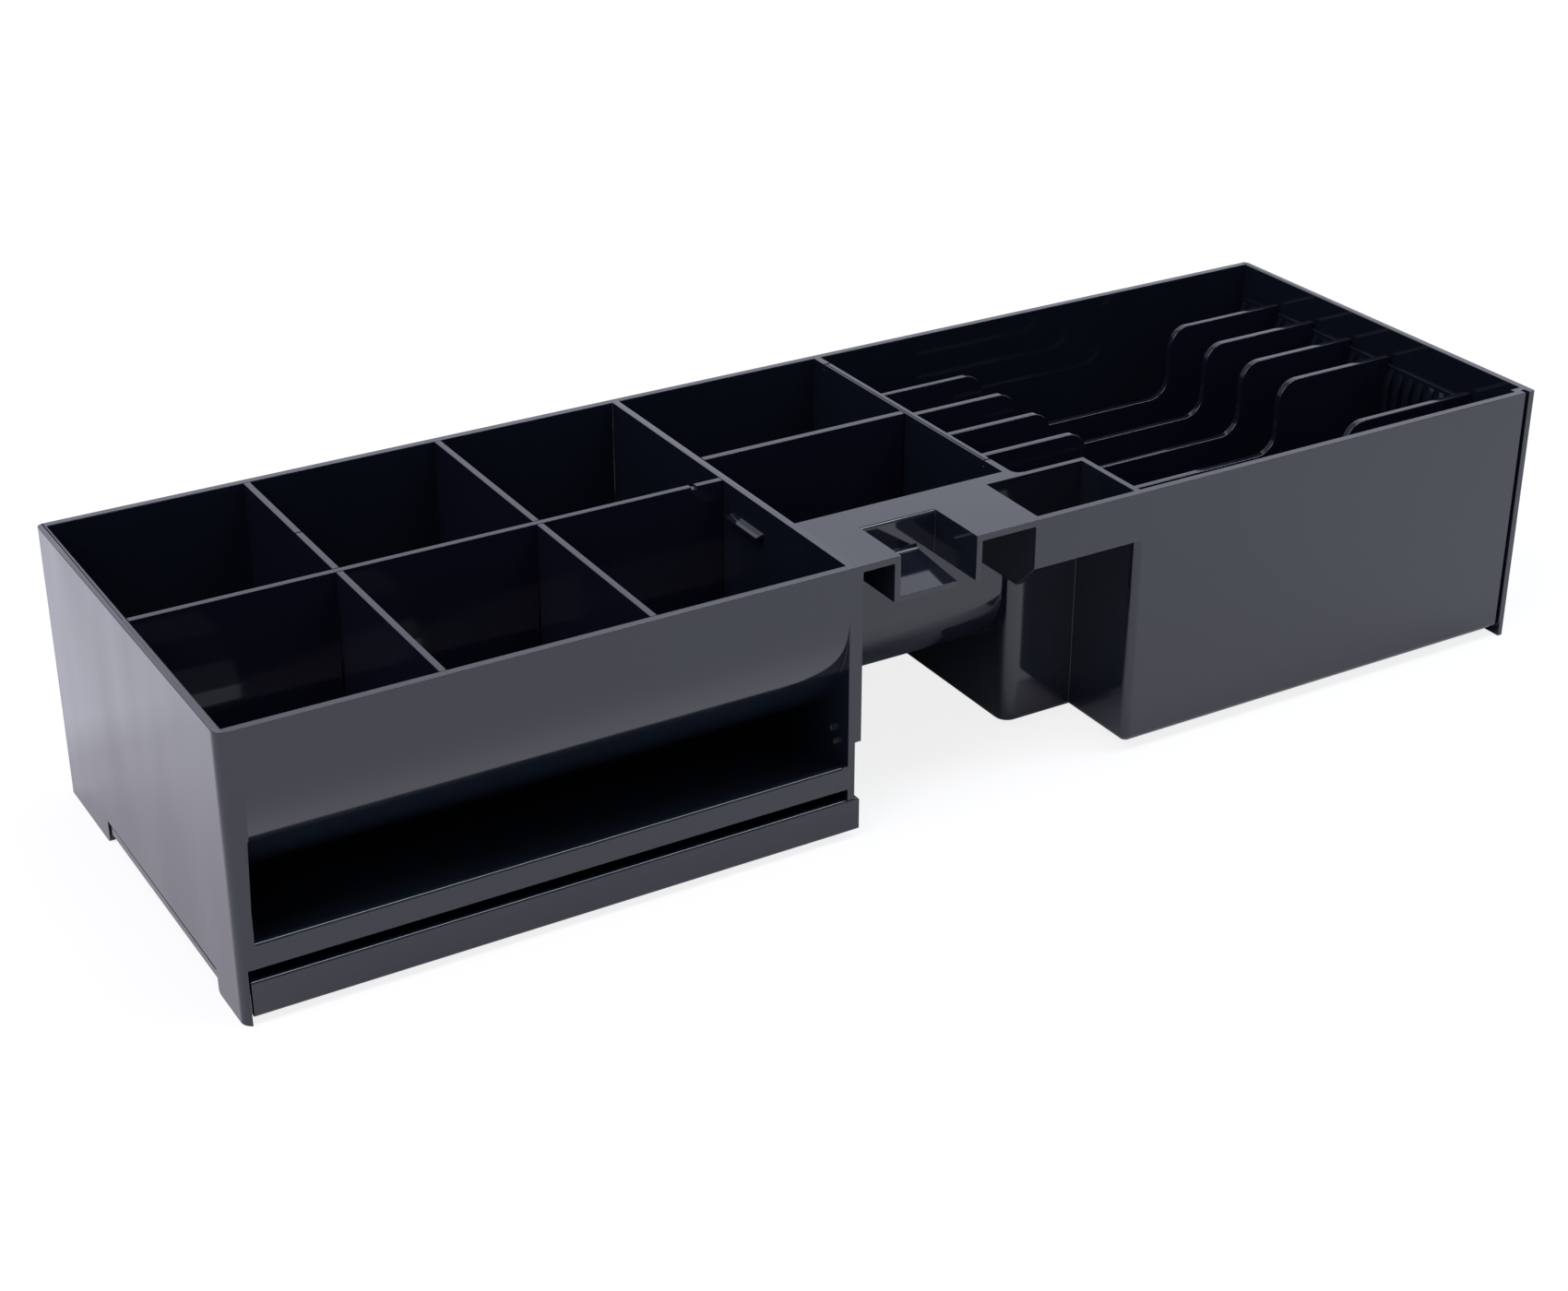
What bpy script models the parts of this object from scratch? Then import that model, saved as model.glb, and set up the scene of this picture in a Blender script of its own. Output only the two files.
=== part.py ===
"""Cash drawer insert: coin cups, upright note bay, roll shelf and a shallow slide-out slip tray.

Metres, +Z up, X along the insert's length, the cashier's side towards -Y.
The origin lies on the surface that the insert stands on, under the middle of its plan.
"""

import math

import bmesh
import bpy
from mathutils import Matrix, Vector

# Driving sizes of the whole insert
INSERT_DEPTH = 0.143
INSERT_HEIGHT = 0.087
WALL = 0.002
SKIRT_RISE = 0.0035
SEAM = 0.0003
CUT_OVERRUN = 0.004
MERGE = 0.00001

# End walls reach the table with two feet, and are rebated outside between them
REBATE_HEIGHT = 0.0039
REBATE_DEPTH = 0.0005
FRONT_FOOT = 0.0195
REAR_FOOT = 0.0355
FRONT_POST_WIDTH = 0.004
FRONT_POST_HEIGHT = 0.0575

# Coin section
COIN_COLUMNS = 3
COIN_COLUMN_CLEAR = 0.0595
COIN_DIVIDER = 0.0016
ROW_DIVIDER_Y = 0.0
LOCK_COLUMN_CLEAR = 0.0719
LOCK_REAR_CUP = 0.0535
SCOOP_RADIUS = 0.043
SCOOP_STEPS = 10
LAP_PLAY = 0.0003

# Curved wall of the cup behind the lock recess
LOCK_WALL_SETBACK = 0.0317
LOCK_SCOOP_RADIUS = 0.025
LOCK_CUP_DEPTH = 0.060
RECESS_POST_WIDTH = 0.002
RECESS_POST_DEPTH = 0.005
RECESS_POST_BOTTOM = 0.0305

# Deck over the lock recess, and the latch pocket under its notch
DECK_THICKNESS = 0.002
NOTCH_INSET = 0.0143
NOTCH_WIDTH = 0.0255
NOTCH_DEPTH = 0.0211
FLANGE = 0.002
FLANGE_DROP = 0.012
LEDGE_WIDTH = 0.020
LEDGE_THICKNESS = 0.0015

# Small open pocket beside the deck
POCKET_OVERHANG = 0.0116
STEP_WIDTH = 0.0271
STEP_SETBACK = 0.0303
POCKET_DEPTH = 0.024
POCKET_SKIRT = 0.0155

# Storage shelf under the coin cups
SHELF_Z = 0.017
SHELF_LIP = 0.0076
SHELF_DEPTH = 0.1075
STORAGE_CLEAR = 0.010

# Shallow slide-out tray under the shelf
TRAY_WALL = 0.0015
TRAY_BOTTOM_Z = 0.003
TRAY_LIP_TOP_Z = 0.013
TRAY_SIDE_TOP_Z = 0.0113
TRAY_PLAY = 0.0005
TRAY_DEPTH = 0.1045
TRAY_FLANGE = 0.0026
RAIL_THICKNESS = 0.0015

# Note bay
NOTE_BAY_CLEAR = 0.1784
FRONT_WALL_END_GAP = 0.004
CORNER_RETURN = 0.002
NOTE_DIVIDER = 0.0018
NOTE_DIVIDER_DROP = 0.009
NOTE_DIVIDER_DIP = 0.0245
NOTE_STUB = 0.0455
NOTE_CORNER_RADIUS = 0.007
NOTE_CORNER_STEPS = 5
COMB_PITCH = 0.0048
COMB_SLOT = 0.0024
COMB_BASE = 0.001
COMB_TOOTH = 0.0022
COMB_DROP = 0.0118
COMB_INSET = 0.0055
REAR_DIVIDER_SLOT_NUMBERS = (3, 7, 11, 15)

# Places worked out from the sizes above
COLUMN_PITCH = COIN_COLUMN_CLEAR + COIN_DIVIDER
COIN_SECTION = COLUMN_PITCH * COIN_COLUMNS - COIN_DIVIDER
INSERT_LENGTH = WALL * 4 + COIN_SECTION + LOCK_COLUMN_CLEAR + NOTE_BAY_CLEAR
LEFT_X = -INSERT_LENGTH / 2
RIGHT_X = INSERT_LENGTH / 2
FRONT_Y = -INSERT_DEPTH / 2
BACK_Y = INSERT_DEPTH / 2
INNER_LEFT_X = LEFT_X + WALL
INNER_RIGHT_X = RIGHT_X - WALL
INNER_FRONT_Y = FRONT_Y + WALL
INNER_BACK_Y = BACK_Y - WALL
RIM_Z = INSERT_HEIGHT
COIN_DIVIDER_X = [INNER_LEFT_X + COLUMN_PITCH * n - COIN_DIVIDER / 2 for n in range(1, COIN_COLUMNS)]
END_WALL_X = INNER_LEFT_X + COIN_SECTION
LOCK_COLUMN_X = END_WALL_X + WALL
PARTITION_X = LOCK_COLUMN_X + LOCK_COLUMN_CLEAR
NOTE_LEFT_X = PARTITION_X + WALL
CUP_FLOOR_Z = SHELF_Z + WALL + STORAGE_CLEAR + WALL
SCOOP_CENTRE = (FRONT_Y + SCOOP_RADIUS, CUP_FLOOR_Z - WALL + SCOOP_RADIUS)
LOCK_WALL_Y = FRONT_Y + LOCK_WALL_SETBACK
LOCK_ROW_Y = INNER_BACK_Y - LOCK_REAR_CUP
LOCK_FLOOR_Z = RIM_Z - LOCK_CUP_DEPTH
LOCK_CENTRE = (LOCK_WALL_Y + LOCK_SCOOP_RADIUS, LOCK_FLOOR_Z - WALL + LOCK_SCOOP_RADIUS)
NOTCH_LEFT_X = LOCK_COLUMN_X + NOTCH_INSET
POCKET_LEFT_X = PARTITION_X - POCKET_OVERHANG
POCKET_RIGHT_X = PARTITION_X + STEP_WIDTH
POCKET_BACK_Y = FRONT_Y + STEP_SETBACK
NOTE_FLOOR_Z = SKIRT_RISE + WALL
SHELF_BACK_Y = FRONT_Y + SHELF_DEPTH
TRAY_LEFT_X = LEFT_X + FRONT_POST_WIDTH + TRAY_PLAY
TRAY_RIGHT_X = END_WALL_X - TRAY_PLAY
TRAY_BACK_Y = FRONT_Y + TRAY_DEPTH
FLANGE_BOTTOM_Z = RIM_Z - DECK_THICKNESS - FLANGE_DROP
NOTE_DIVIDER_TOP_Z = RIM_Z - NOTE_DIVIDER_DROP
NOTE_DIVIDER_LOW_Z = NOTE_DIVIDER_TOP_Z - NOTE_DIVIDER_DIP
COMB_TOP_Z = RIM_Z - COMB_DROP
COMB_FIRST_Y = INNER_BACK_Y - COMB_INSET

PART_COLOURS = {
    "body": (0.020, 0.021, 0.024),
    "divider": (0.018, 0.019, 0.022),
    "tray": (0.022, 0.023, 0.026),
}


def clear_scene():
    """Removes every object, so that the insert is built in an empty scene."""
    for old in list(bpy.data.objects):
        bpy.data.objects.remove(old, do_unlink=True)


def make_collection(name):
    """Returns a new collection linked to the scene."""
    collection = bpy.data.collections.new(name)
    bpy.context.scene.collection.children.link(collection)
    return collection


def make_material(name, colour, roughness):
    """Returns a plain moulded plastic."""
    material = bpy.data.materials.new(name)
    material.use_nodes = True
    shader = material.node_tree.nodes["Principled BSDF"]
    shader.inputs["Base Color"].default_value = (*colour, 1.0)
    shader.inputs["Roughness"].default_value = roughness
    shader.inputs["Metallic"].default_value = 0.0
    return material


def arc(centre, radius, start, end, steps):
    """Returns points along an arc from angle start to angle end, both ends included."""
    points = []
    for step in range(steps + 1):
        angle = start + (end - start) * step / steps
        points.append((centre[0] + radius * math.cos(angle), centre[1] + radius * math.sin(angle)))
    return points


class Builder:
    """Makes the insert's solids and files them in the collections."""

    def __init__(self, parts, cutters):
        self.parts = parts
        self.cutters = cutters
        self.materials = {}

    def dress(self, thing, kind):
        """Gives a piece its own material, coloured by the kind of piece it is."""
        material = make_material(f"{thing.name}_plastic", PART_COLOURS[kind], 0.22)
        thing.data.materials.clear()
        thing.data.materials.append(material)
        self.materials[thing.name] = material

    def file(self, mesh, name, kind):
        """Links a new object for a mesh, as a part or, with no kind, as a cutter."""
        thing = bpy.data.objects.new(name, mesh)
        if kind is None:
            self.cutters.objects.link(thing)
            thing.hide_render = True
            thing.display_type = "WIRE"
        else:
            self.parts.objects.link(thing)
            self.dress(thing, kind)
        return thing

    def box(self, name, kind, low, high):
        """Adds a block between two opposite corners."""
        shape = bmesh.new()
        bmesh.ops.create_cube(shape, size=1.0)
        size = Vector(high) - Vector(low)
        middle = (Vector(high) + Vector(low)) / 2
        fitted = Matrix.Translation(middle) @ Matrix.Diagonal((*size, 1))
        bmesh.ops.transform(shape, matrix=fitted, verts=shape.verts)
        mesh = bpy.data.meshes.new(name)
        shape.to_mesh(mesh)
        shape.free()
        return self.file(mesh, name, kind)

    def plate(self, name, kind, outline, plane, start, end):
        """Adds a flat outline, drawn in the plane XY, XZ or YZ, thickened from start to end."""
        curve = bpy.data.curves.new(f"{name}_outline", "CURVE")
        curve.dimensions = "2D"
        curve.fill_mode = "BOTH"
        curve.extrude = (end - start) / 2
        spline = curve.splines.new("POLY")
        spline.points.add(len(outline) - 1)
        for point, (across, up) in zip(spline.points, outline):
            point.co = (across, up, 0.0, 1.0)
        spline.use_cyclic_u = True
        middle = (start + end) / 2
        drawn = bpy.data.objects.new(f"{name}_outline", curve)
        self.parts.objects.link(drawn)
        if plane == "XY":
            drawn.location = (0.0, 0.0, middle)
        elif plane == "XZ":
            drawn.rotation_euler = (math.pi / 2, 0.0, 0.0)
            drawn.location = (0.0, middle, 0.0)
        else:
            drawn.rotation_euler = (math.pi / 2, 0.0, math.pi / 2)
            drawn.location = (middle, 0.0, 0.0)
        bpy.context.view_layer.update()
        mesh = bpy.data.meshes.new_from_object(drawn.evaluated_get(bpy.context.evaluated_depsgraph_get()))
        shape = bmesh.new()
        shape.from_mesh(mesh)
        bmesh.ops.remove_doubles(shape, verts=shape.verts, dist=MERGE)
        bmesh.ops.recalc_face_normals(shape, faces=shape.faces)
        shape.to_mesh(mesh)
        shape.free()
        place = drawn.matrix_world.copy()
        bpy.data.objects.remove(drawn, do_unlink=True)
        thing = self.file(mesh, name, kind)
        thing.matrix_world = place
        return thing

    def sheet(self, name, kind, profile, start, end, thickness):
        """Adds a bent sheet: a profile drawn in the YZ plane, drawn out along X and thickened to its left."""
        shape = bmesh.new()
        line = [shape.verts.new((start, across, up)) for across, up in profile]
        edges = [shape.edges.new(pair) for pair in zip(line, line[1:])]
        drawn = bmesh.ops.extrude_edge_only(shape, edges=edges)
        moved = [item for item in drawn["geom"] if isinstance(item, bmesh.types.BMVert)]
        bmesh.ops.translate(shape, verts=moved, vec=(end - start, 0.0, 0.0))
        mesh = bpy.data.meshes.new(name)
        shape.to_mesh(mesh)
        shape.free()
        thing = self.file(mesh, name, kind)
        wall = thing.modifiers.new("Wall", "SOLIDIFY")
        wall.thickness = thickness
        wall.offset = 1.0
        wall.use_even_offset = True
        return thing

    def combine(self, thing, other, operation):
        """Cuts a cutter out of a part, or joins it on."""
        step = thing.modifiers.new(f"{operation.title()} {other.name}", "BOOLEAN")
        step.object = other
        step.operation = operation
        step.solver = "EXACT"


def end_wall_outline():
    """Outline of an end wall seen from its end, with the raised edge between its two feet."""
    front_foot_y = FRONT_Y + FRONT_FOOT
    rear_foot_y = BACK_Y - REAR_FOOT
    return [
        (FRONT_Y, 0.0),
        (front_foot_y, 0.0),
        (front_foot_y, SKIRT_RISE),
        (rear_foot_y, SKIRT_RISE),
        (rear_foot_y, 0.0),
        (BACK_Y, 0.0),
        (BACK_Y, RIM_Z),
        (FRONT_Y, RIM_Z),
    ]


def build_outer_walls(builder):
    """Makes the two end walls, the rear wall and the front wall of the note bay."""
    left = builder.plate("left_end_wall", "body", end_wall_outline(), "YZ", LEFT_X, INNER_LEFT_X)
    post_low = (LEFT_X + WALL / 2, FRONT_Y, 0.0)
    post_high = (LEFT_X + FRONT_POST_WIDTH, INNER_FRONT_Y, FRONT_POST_HEIGHT)
    builder.combine(left, builder.box("left_front_post", None, post_low, post_high), "UNION")
    right = builder.plate("right_end_wall", "body", end_wall_outline(), "YZ", INNER_RIGHT_X, RIGHT_X)
    rebate_y = (FRONT_Y + FRONT_FOOT, BACK_Y - REAR_FOOT)
    rebate_z = (SKIRT_RISE - CUT_OVERRUN, SKIRT_RISE + REBATE_HEIGHT)
    for wall, name, edges_x in (
        (left, "left_rebate", (LEFT_X - CUT_OVERRUN, LEFT_X + REBATE_DEPTH)),
        (right, "right_rebate", (RIGHT_X - REBATE_DEPTH, RIGHT_X + CUT_OVERRUN)),
    ):
        low = (edges_x[0], rebate_y[0], rebate_z[0])
        high = (edges_x[1], rebate_y[1], rebate_z[1])
        builder.combine(wall, builder.box(name, None, low, high), "DIFFERENCE")
    rear_low = (INNER_LEFT_X + SEAM, INNER_BACK_Y, SKIRT_RISE)
    rear_high = (INNER_RIGHT_X - SEAM, BACK_Y, RIM_Z)
    builder.box("rear_wall", "body", rear_low, rear_high)
    panel_end_x = RIGHT_X - FRONT_WALL_END_GAP
    corner_y = INNER_FRONT_Y + CORNER_RETURN
    front_outline = [
        (POCKET_RIGHT_X + SEAM, FRONT_Y),
        (panel_end_x, FRONT_Y),
        (panel_end_x, INNER_FRONT_Y),
        (INNER_RIGHT_X - SEAM, INNER_FRONT_Y),
        (INNER_RIGHT_X - SEAM, corner_y),
        (panel_end_x - WALL, corner_y),
        (panel_end_x - WALL, INNER_FRONT_Y),
        (POCKET_RIGHT_X + SEAM, INNER_FRONT_Y),
    ]
    builder.plate("note_front_wall", "body", front_outline, "XY", SKIRT_RISE, RIM_Z)


def build_bay_walls(builder):
    """Makes the wall between coins and lock column, the coin and note partition and the stepped bay walls."""
    lip_relief_y = INNER_FRONT_Y + SEAM
    coin_end = [
        (lip_relief_y, SKIRT_RISE),
        (INNER_BACK_Y - SEAM, SKIRT_RISE),
        (INNER_BACK_Y - SEAM, RIM_Z),
        (FRONT_Y, RIM_Z),
        (FRONT_Y, TRAY_LIP_TOP_Z + SEAM),
        (lip_relief_y, TRAY_LIP_TOP_Z + SEAM),
    ]
    wall = builder.plate("coin_end_wall", "body", coin_end, "YZ", END_WALL_X, LOCK_COLUMN_X)
    post_low = (LOCK_COLUMN_X - WALL / 2, FRONT_Y, RECESS_POST_BOTTOM)
    post_top_z = RIM_Z - DECK_THICKNESS - SEAM
    post_high = (LOCK_COLUMN_X + RECESS_POST_WIDTH, FRONT_Y + RECESS_POST_DEPTH, post_top_z)
    builder.combine(wall, builder.box("recess_corner_post", None, post_low, post_high), "UNION")
    partition_low = (PARTITION_X, POCKET_BACK_Y + SEAM, SKIRT_RISE)
    partition_high = (NOTE_LEFT_X, INNER_BACK_Y - SEAM, RIM_Z)
    builder.box("coin_note_partition", "body", partition_low, partition_high)
    step_front_y = POCKET_BACK_Y - WALL
    pocket_floor_z = RIM_Z - POCKET_DEPTH
    step_back = [
        (PARTITION_X, SKIRT_RISE),
        (POCKET_RIGHT_X, SKIRT_RISE),
        (POCKET_RIGHT_X, RIM_Z),
        (POCKET_LEFT_X, RIM_Z),
        (POCKET_LEFT_X, pocket_floor_z),
        (PARTITION_X, pocket_floor_z),
    ]
    builder.plate("bay_step_back_wall", "body", step_back, "XZ", step_front_y, POCKET_BACK_Y)
    side_low = (POCKET_RIGHT_X - WALL, FRONT_Y, SKIRT_RISE)
    side_high = (POCKET_RIGHT_X, step_front_y - SEAM, RIM_Z)
    builder.box("bay_step_side_wall", "body", side_low, side_high)


def build_floors(builder):
    """Makes the scooped coin floors and the stepped note floor."""
    quarter = arc(SCOOP_CENTRE, SCOOP_RADIUS, math.pi, math.pi * 3 / 2, SCOOP_STEPS)
    coin_profile = [(FRONT_Y, RIM_Z)] + quarter + [(INNER_BACK_Y - SEAM, CUP_FLOOR_Z - WALL)]
    builder.sheet("coin_cup_floor", "body", coin_profile, INNER_LEFT_X + SEAM, END_WALL_X - SEAM, WALL)
    lock_quarter = arc(LOCK_CENTRE, LOCK_SCOOP_RADIUS, math.pi, math.pi * 3 / 2, SCOOP_STEPS)
    lock_profile = [(LOCK_WALL_Y, RIM_Z)] + lock_quarter + [(INNER_BACK_Y - SEAM, LOCK_FLOOR_Z - WALL)]
    builder.sheet("lock_cup_floor", "body", lock_profile, LOCK_COLUMN_X + SEAM, PARTITION_X - SEAM, WALL)
    note_outline = [
        (POCKET_RIGHT_X + SEAM, INNER_FRONT_Y + CORNER_RETURN + SEAM),
        (INNER_RIGHT_X - SEAM, INNER_FRONT_Y + CORNER_RETURN + SEAM),
        (INNER_RIGHT_X - SEAM, INNER_BACK_Y - SEAM),
        (NOTE_LEFT_X + SEAM, INNER_BACK_Y - SEAM),
        (NOTE_LEFT_X + SEAM, POCKET_BACK_Y + SEAM),
        (POCKET_RIGHT_X + SEAM, POCKET_BACK_Y + SEAM),
    ]
    builder.plate("note_bay_floor", "body", note_outline, "XY", SKIRT_RISE, NOTE_FLOOR_Z)


def build_lock_deck(builder):
    """Makes the deck over the lock recess and the latch pocket hanging under its notch."""
    notch_right_x = NOTCH_LEFT_X + NOTCH_WIDTH
    notch_back_y = FRONT_Y + NOTCH_DEPTH
    deck_left_x = LOCK_COLUMN_X + SEAM
    deck_back_y = LOCK_WALL_Y - SEAM
    outline = [
        (deck_left_x, FRONT_Y),
        (NOTCH_LEFT_X, FRONT_Y),
        (NOTCH_LEFT_X, notch_back_y),
        (notch_right_x, notch_back_y),
        (notch_right_x, FRONT_Y),
        (POCKET_LEFT_X - SEAM, FRONT_Y),
        (POCKET_LEFT_X - SEAM, POCKET_BACK_Y + SEAM),
        (PARTITION_X - SEAM, POCKET_BACK_Y + SEAM),
        (PARTITION_X - SEAM, deck_back_y),
        (deck_left_x, deck_back_y),
    ]
    builder.plate("lock_deck", "body", outline, "XY", RIM_Z - DECK_THICKNESS, RIM_Z)
    flange_top_z = RIM_Z - DECK_THICKNESS - SEAM
    block_low = (NOTCH_LEFT_X - FLANGE, FRONT_Y, FLANGE_BOTTOM_Z)
    block_high = (notch_right_x + FLANGE, notch_back_y + FLANGE, flange_top_z)
    latch = builder.box("latch_pocket", "body", block_low, block_high)
    ledge_top_z = FLANGE_BOTTOM_Z + LEDGE_THICKNESS
    hollow_low = (NOTCH_LEFT_X, FRONT_Y - CUT_OVERRUN, ledge_top_z)
    hollow_high = (notch_right_x, notch_back_y, RIM_Z)
    builder.combine(latch, builder.box("latch_hollow", None, hollow_low, hollow_high), "DIFFERENCE")
    slot_low = (NOTCH_LEFT_X + LEDGE_WIDTH, FRONT_Y - CUT_OVERRUN, FLANGE_BOTTOM_Z - CUT_OVERRUN)
    slot_high = (notch_right_x, notch_back_y, ledge_top_z + CUT_OVERRUN)
    builder.combine(latch, builder.box("latch_slot", None, slot_low, slot_high), "DIFFERENCE")


def build_small_pocket(builder):
    """Makes the small open pocket: a bent sheet for its skirt and floor, and its left wall."""
    floor_z = RIM_Z - POCKET_DEPTH
    skirt_z = RIM_Z - POCKET_SKIRT
    chamfer = skirt_z - floor_z
    back_y = POCKET_BACK_Y - WALL - SEAM
    profile = [(FRONT_Y, RIM_Z), (FRONT_Y, skirt_z), (FRONT_Y + chamfer, floor_z), (back_y, floor_z)]
    wall_right_x = POCKET_LEFT_X + WALL
    floor_right_x = POCKET_RIGHT_X - WALL - SEAM
    builder.sheet("small_pocket_floor", "body", profile, wall_right_x + SEAM, floor_right_x, WALL)
    outline = [
        (FRONT_Y, RIM_Z),
        (FRONT_Y, skirt_z),
        (FRONT_Y + chamfer, floor_z),
        (back_y, floor_z),
        (back_y, RIM_Z),
    ]
    builder.plate("small_pocket_wall", "body", outline, "YZ", POCKET_LEFT_X, wall_right_x)


def build_shelf(builder):
    """Makes the storage shelf under the coin cups, with its front lip and closed back, cut round the post."""
    profile = [
        (INNER_FRONT_Y, SHELF_Z + SHELF_LIP),
        (INNER_FRONT_Y, SHELF_Z + WALL),
        (SHELF_BACK_Y - WALL, SHELF_Z + WALL),
        (SHELF_BACK_Y - WALL, CUP_FLOOR_Z - WALL - SEAM),
    ]
    shelf = builder.sheet("storage_shelf", "body", profile, INNER_LEFT_X + SEAM, END_WALL_X - SEAM, WALL)
    shelf.modifiers["Wall"].offset = -1.0
    relief_low = (LEFT_X, FRONT_Y - CUT_OVERRUN, SHELF_Z - CUT_OVERRUN)
    relief_high = (LEFT_X + FRONT_POST_WIDTH + SEAM, INNER_FRONT_Y + SEAM, SHELF_Z + SHELF_LIP + CUT_OVERRUN)
    builder.combine(shelf, builder.box("post_relief", None, relief_low, relief_high), "DIFFERENCE")


def build_slip_tray(builder):
    """Makes the shallow slide-out tray, whose outward flanges ride on a rib at each side."""
    side_left_x = TRAY_LEFT_X + TRAY_FLANGE
    side_right_x = TRAY_RIGHT_X - TRAY_FLANGE
    flange_bottom_z = TRAY_SIDE_TOP_Z - TRAY_WALL
    lip_back_y = INNER_FRONT_Y
    bin_low = (side_left_x, FRONT_Y + WALL / 2, TRAY_BOTTOM_Z)
    bin_high = (side_right_x, TRAY_BACK_Y, TRAY_SIDE_TOP_Z)
    tray = builder.box("slip_tray", "tray", bin_low, bin_high)
    flange_low = (TRAY_LEFT_X, FRONT_Y + WALL / 2, flange_bottom_z)
    flange_high = (TRAY_RIGHT_X, TRAY_BACK_Y, TRAY_SIDE_TOP_Z)
    builder.combine(tray, builder.box("tray_flanges", None, flange_low, flange_high), "UNION")
    well_low = (side_left_x + TRAY_WALL, lip_back_y, TRAY_BOTTOM_Z + TRAY_WALL)
    well_high = (side_right_x - TRAY_WALL, TRAY_BACK_Y - TRAY_WALL, TRAY_SIDE_TOP_Z + CUT_OVERRUN)
    builder.combine(tray, builder.box("tray_well", None, well_low, well_high), "DIFFERENCE")
    lip_low = (TRAY_LEFT_X, FRONT_Y, TRAY_BOTTOM_Z)
    lip_high = (LOCK_COLUMN_X + RECESS_POST_WIDTH - SEAM, lip_back_y, TRAY_LIP_TOP_Z)
    builder.combine(tray, builder.box("tray_lip", None, lip_low, lip_high), "UNION")

    rib_top_z = flange_bottom_z - SEAM
    rib_front_y = lip_back_y + TRAY_PLAY
    left_low = (INNER_LEFT_X + SEAM, rib_front_y, rib_top_z - RAIL_THICKNESS)
    left_high = (side_left_x - TRAY_PLAY, TRAY_BACK_Y, rib_top_z)
    builder.box("tray_rail_left", "body", left_low, left_high)
    right_low = (side_right_x + TRAY_PLAY, rib_front_y, rib_top_z - RAIL_THICKNESS)
    right_high = (END_WALL_X - SEAM, TRAY_BACK_Y, rib_top_z)
    builder.box("tray_rail_right", "body", right_low, right_high)


def build_coin_dividers(builder):
    """Makes the coin dividers, lapped half and half where they cross."""
    inner_arc = arc(SCOOP_CENTRE, SCOOP_RADIUS - WALL - SEAM, math.pi, math.pi * 3 / 2, SCOOP_STEPS)
    across_profile = [(INNER_FRONT_Y + SEAM, RIM_Z)] + inner_arc
    across_profile += [(INNER_BACK_Y - SEAM, CUP_FLOOR_Z + SEAM), (INNER_BACK_Y - SEAM, RIM_Z)]
    lap_z = (RIM_Z + CUP_FLOOR_Z) / 2
    half_slot = COIN_DIVIDER / 2 + LAP_PLAY
    row_low = (INNER_LEFT_X + SEAM, ROW_DIVIDER_Y - COIN_DIVIDER / 2, CUP_FLOOR_Z + SEAM)
    row_high = (END_WALL_X - SEAM, ROW_DIVIDER_Y + COIN_DIVIDER / 2, RIM_Z)
    row = builder.box("coin_row_divider", "divider", row_low, row_high)
    for number, centre_x in enumerate(COIN_DIVIDER_X, start=1):
        edges_x = (centre_x - COIN_DIVIDER / 2, centre_x + COIN_DIVIDER / 2)
        divider = builder.plate(f"coin_column_divider_{number}", "divider", across_profile, "YZ", *edges_x)
        upper_low = (edges_x[0] - CUT_OVERRUN, ROW_DIVIDER_Y - half_slot, lap_z - LAP_PLAY)
        upper_high = (edges_x[1] + CUT_OVERRUN, ROW_DIVIDER_Y + half_slot, RIM_Z + CUT_OVERRUN)
        upper_lap = builder.box(f"upper_lap_{number}", None, upper_low, upper_high)
        builder.combine(divider, upper_lap, "DIFFERENCE")
        lower_low = (centre_x - half_slot, row_low[1] - CUT_OVERRUN, CUP_FLOOR_Z - CUT_OVERRUN)
        lower_high = (centre_x + half_slot, row_high[1] + CUT_OVERRUN, lap_z)
        builder.combine(row, builder.box(f"lower_lap_{number}", None, lower_low, lower_high), "DIFFERENCE")
    lock_low = (LOCK_COLUMN_X + SEAM, LOCK_ROW_Y - COIN_DIVIDER / 2, LOCK_FLOOR_Z + SEAM)
    lock_high = (PARTITION_X - SEAM, LOCK_ROW_Y + COIN_DIVIDER / 2, RIM_Z)
    builder.box("lock_row_divider", "divider", lock_low, lock_high)


def build_comb(builder, name, wall_x, inward, first, count):
    """Makes a comb strip on a wall: a bar with one slot cut for each divider position."""
    back_x = wall_x + inward * SEAM
    root_x = back_x + inward * COMB_BASE
    tip_x = root_x + inward * COMB_TOOTH
    beyond_x = tip_x + inward * CUT_OVERRUN
    tooth = COMB_PITCH - COMB_SLOT
    first_y = COMB_FIRST_Y - COMB_PITCH * first
    last_y = first_y - COMB_PITCH * (count - 1)
    bottom_z = NOTE_FLOOR_Z + SEAM
    bar_low = (min(back_x, tip_x), last_y - COMB_SLOT / 2 - tooth, bottom_z)
    bar_high = (max(back_x, tip_x), first_y + COMB_SLOT / 2 + tooth, COMB_TOP_Z)
    comb = builder.box(name, "body", bar_low, bar_high)
    slot_low = (min(root_x, beyond_x), first_y - COMB_SLOT / 2, bottom_z - CUT_OVERRUN)
    slot_high = (max(root_x, beyond_x), first_y + COMB_SLOT / 2, COMB_TOP_Z + CUT_OVERRUN)
    slots = builder.box(f"{name}_slots", None, slot_low, slot_high)
    row = slots.modifiers.new("Slots", "ARRAY")
    row.count = count
    row.use_relative_offset = False
    row.use_constant_offset = True
    row.constant_offset_displace = (0.0, -COMB_PITCH, 0.0)
    builder.combine(comb, slots, "DIFFERENCE")


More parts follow.
